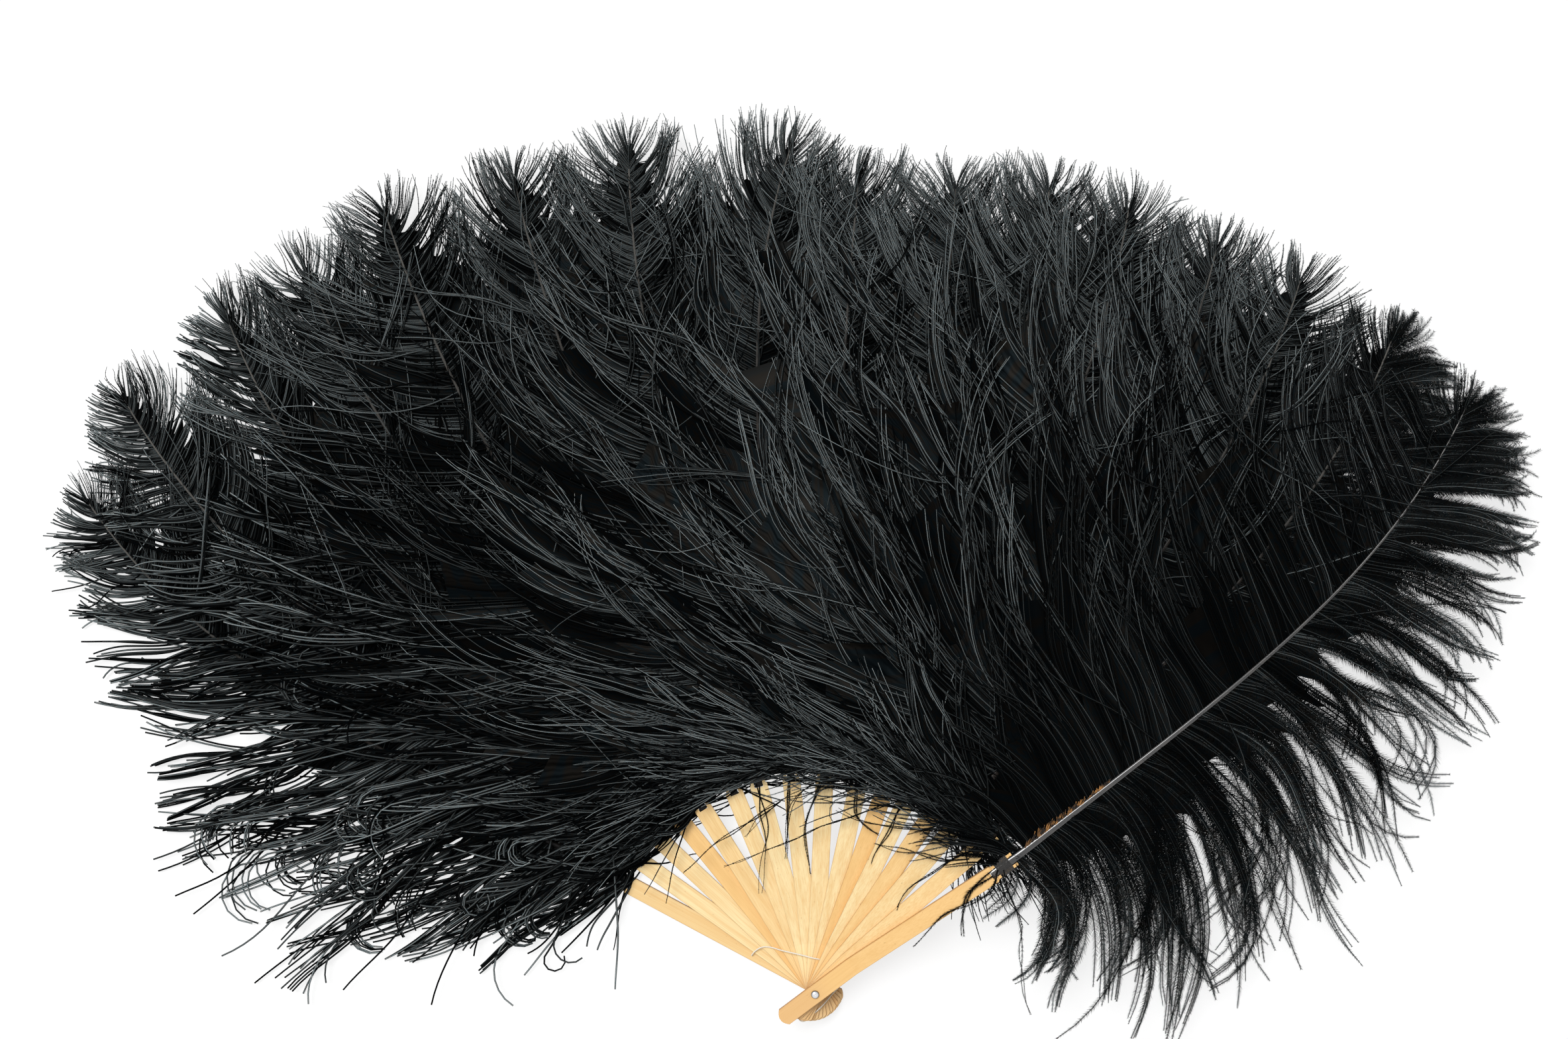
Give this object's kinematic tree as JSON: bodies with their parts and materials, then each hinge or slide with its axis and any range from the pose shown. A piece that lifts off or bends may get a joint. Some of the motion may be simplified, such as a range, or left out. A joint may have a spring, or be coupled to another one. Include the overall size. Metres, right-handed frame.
{
  "type": "folding feather fan",
  "caption": "Folding hand fan of bamboo sticks on one rivet, with a long soft plume bound to each stick's forked end; opens into a wide feathered half-round",
  "frame": {"origin": "on the rivet's axis, at the flush back of the rivet, in the plane of the rear guard's back", "axes": "+Z is the rivet's axis, from the back to the front of the fan; +Y is the way the open fan points; +X runs to the front guard's side"},
  "size_m": [0.8199, 0.5052, 0.0485],
  "materials": {
    "guard_bamboo": "satin",
    "stave_bamboo": "satin",
    "feather": "soft sheen",
    "binding_thread": "matte",
    "bright_metal": "polished",
    "cotton": "matte"
  },
  "bodies": {
    "rear_guard": {"rear_guard": "guard_bamboo", "feather_rear": "feather", "binding_rear": "binding_thread", "rivet": "bright_metal", "rivet_washer": "bright_metal"},
    "stave_01": {"stave_01": "stave_bamboo", "feather_01": "feather", "binding_01": "binding_thread"},
    "stave_02": {"stave_02": "stave_bamboo", "feather_02": "feather", "binding_02": "binding_thread"},
    "stave_03": {"stave_03": "stave_bamboo", "feather_03": "feather", "binding_03": "binding_thread"},
    "stave_04": {"stave_04": "stave_bamboo", "feather_04": "feather", "binding_04": "binding_thread"},
    "stave_05": {"stave_05": "stave_bamboo", "feather_05": "feather", "binding_05": "binding_thread"},
    "stave_06": {"stave_06": "stave_bamboo", "feather_06": "feather", "binding_06": "binding_thread"},
    "stave_07": {"stave_07": "stave_bamboo", "feather_07": "feather", "binding_07": "binding_thread"},
    "stave_08": {"stave_08": "stave_bamboo", "feather_08": "feather", "binding_08": "binding_thread"},
    "stave_09": {"stave_09": "stave_bamboo", "feather_09": "feather", "binding_09": "binding_thread"},
    "stave_10": {"stave_10": "stave_bamboo", "feather_10": "feather", "binding_10": "binding_thread"},
    "stave_11": {"stave_11": "stave_bamboo", "feather_11": "feather", "binding_11": "binding_thread", "loose_thread": "cotton"},
    "stave_12": {"stave_12": "stave_bamboo", "feather_12": "feather", "binding_12": "binding_thread"},
    "stave_13": {"stave_13": "stave_bamboo", "feather_13": "feather", "binding_13": "binding_thread"},
    "stave_14": {"stave_14": "stave_bamboo", "feather_14": "feather", "binding_14": "binding_thread"},
    "front_guard": {"front_guard": "guard_bamboo", "feather_front": "feather", "binding_front": "binding_thread"}
  },
  "joints": [
    {"name": "stave_01_turn", "type": "hinge", "parent": "rear_guard", "child": "stave_01", "pos_m": [0, 0, 0], "axis": [0, 0, 1], "range_deg": [-0.01, 7.41]},
    {"name": "stave_02_turn", "type": "hinge", "parent": "rear_guard", "child": "stave_02", "pos_m": [0, 0, 0], "axis": [0, 0, 1], "range_deg": [-0.01, 15.41]},
    {"name": "stave_03_turn", "type": "hinge", "parent": "rear_guard", "child": "stave_03", "pos_m": [0, 0, 0], "axis": [0, 0, 1], "range_deg": [-0.01, 23.21]},
    {"name": "stave_04_turn", "type": "hinge", "parent": "rear_guard", "child": "stave_04", "pos_m": [0, 0, 0], "axis": [0, 0, 1], "range_deg": [-0.01, 30.21]},
    {"name": "stave_05_turn", "type": "hinge", "parent": "rear_guard", "child": "stave_05", "pos_m": [0, 0, 0], "axis": [0, 0, 1], "range_deg": [-0.01, 39.71]},
    {"name": "stave_06_turn", "type": "hinge", "parent": "rear_guard", "child": "stave_06", "pos_m": [0, 0, 0], "axis": [0, 0, 1], "range_deg": [-0.01, 46.61]},
    {"name": "stave_07_turn", "type": "hinge", "parent": "rear_guard", "child": "stave_07", "pos_m": [0, 0, 0], "axis": [0, 0, 1], "range_deg": [-0.01, 55.51]},
    {"name": "stave_08_turn", "type": "hinge", "parent": "rear_guard", "child": "stave_08", "pos_m": [0, 0, 0], "axis": [0, 0, 1], "range_deg": [-0.01, 64.31]},
    {"name": "stave_09_turn", "type": "hinge", "parent": "rear_guard", "child": "stave_09", "pos_m": [0, 0, 0], "axis": [0, 0, 1], "range_deg": [-0.01, 73.21]},
    {"name": "stave_10_turn", "type": "hinge", "parent": "rear_guard", "child": "stave_10", "pos_m": [0, 0, 0], "axis": [0, 0, 1], "range_deg": [-0.01, 80.21]},
    {"name": "stave_11_turn", "type": "hinge", "parent": "rear_guard", "child": "stave_11", "pos_m": [0, 0, 0], "axis": [0, 0, 1], "range_deg": [-0.01, 86.31]},
    {"name": "stave_12_turn", "type": "hinge", "parent": "rear_guard", "child": "stave_12", "pos_m": [0, 0, 0], "axis": [0, 0, 1], "range_deg": [-0.01, 93.51]},
    {"name": "stave_13_turn", "type": "hinge", "parent": "rear_guard", "child": "stave_13", "pos_m": [0, 0, 0], "axis": [0, 0, 1], "range_deg": [-0.01, 100.01]},
    {"name": "stave_14_turn", "type": "hinge", "parent": "rear_guard", "child": "stave_14", "pos_m": [0, 0, 0], "axis": [0, 0, 1], "range_deg": [-0.01, 107.91]},
    {"name": "fan_fold", "type": "hinge", "parent": "rear_guard", "child": "front_guard", "pos_m": [0, 0, 0], "axis": [0, 0, 1], "range_deg": [0, 115.1]}
  ],
  "couplings": [
    {"joint": "stave_01_turn", "follows": "fan_fold", "ratio": 0.064292},
    {"joint": "stave_02_turn", "follows": "fan_fold", "ratio": 0.1338},
    {"joint": "stave_03_turn", "follows": "fan_fold", "ratio": 0.20156},
    {"joint": "stave_04_turn", "follows": "fan_fold", "ratio": 0.26238},
    {"joint": "stave_05_turn", "follows": "fan_fold", "ratio": 0.34492},
    {"joint": "stave_06_turn", "follows": "fan_fold", "ratio": 0.40487},
    {"joint": "stave_07_turn", "follows": "fan_fold", "ratio": 0.48219},
    {"joint": "stave_08_turn", "follows": "fan_fold", "ratio": 0.55864},
    {"joint": "stave_09_turn", "follows": "fan_fold", "ratio": 0.63597},
    {"joint": "stave_10_turn", "follows": "fan_fold", "ratio": 0.69679},
    {"joint": "stave_11_turn", "follows": "fan_fold", "ratio": 0.74978},
    {"joint": "stave_12_turn", "follows": "fan_fold", "ratio": 0.81234},
    {"joint": "stave_13_turn", "follows": "fan_fold", "ratio": 0.86881},
    {"joint": "stave_14_turn", "follows": "fan_fold", "ratio": 0.93745}
  ]
}
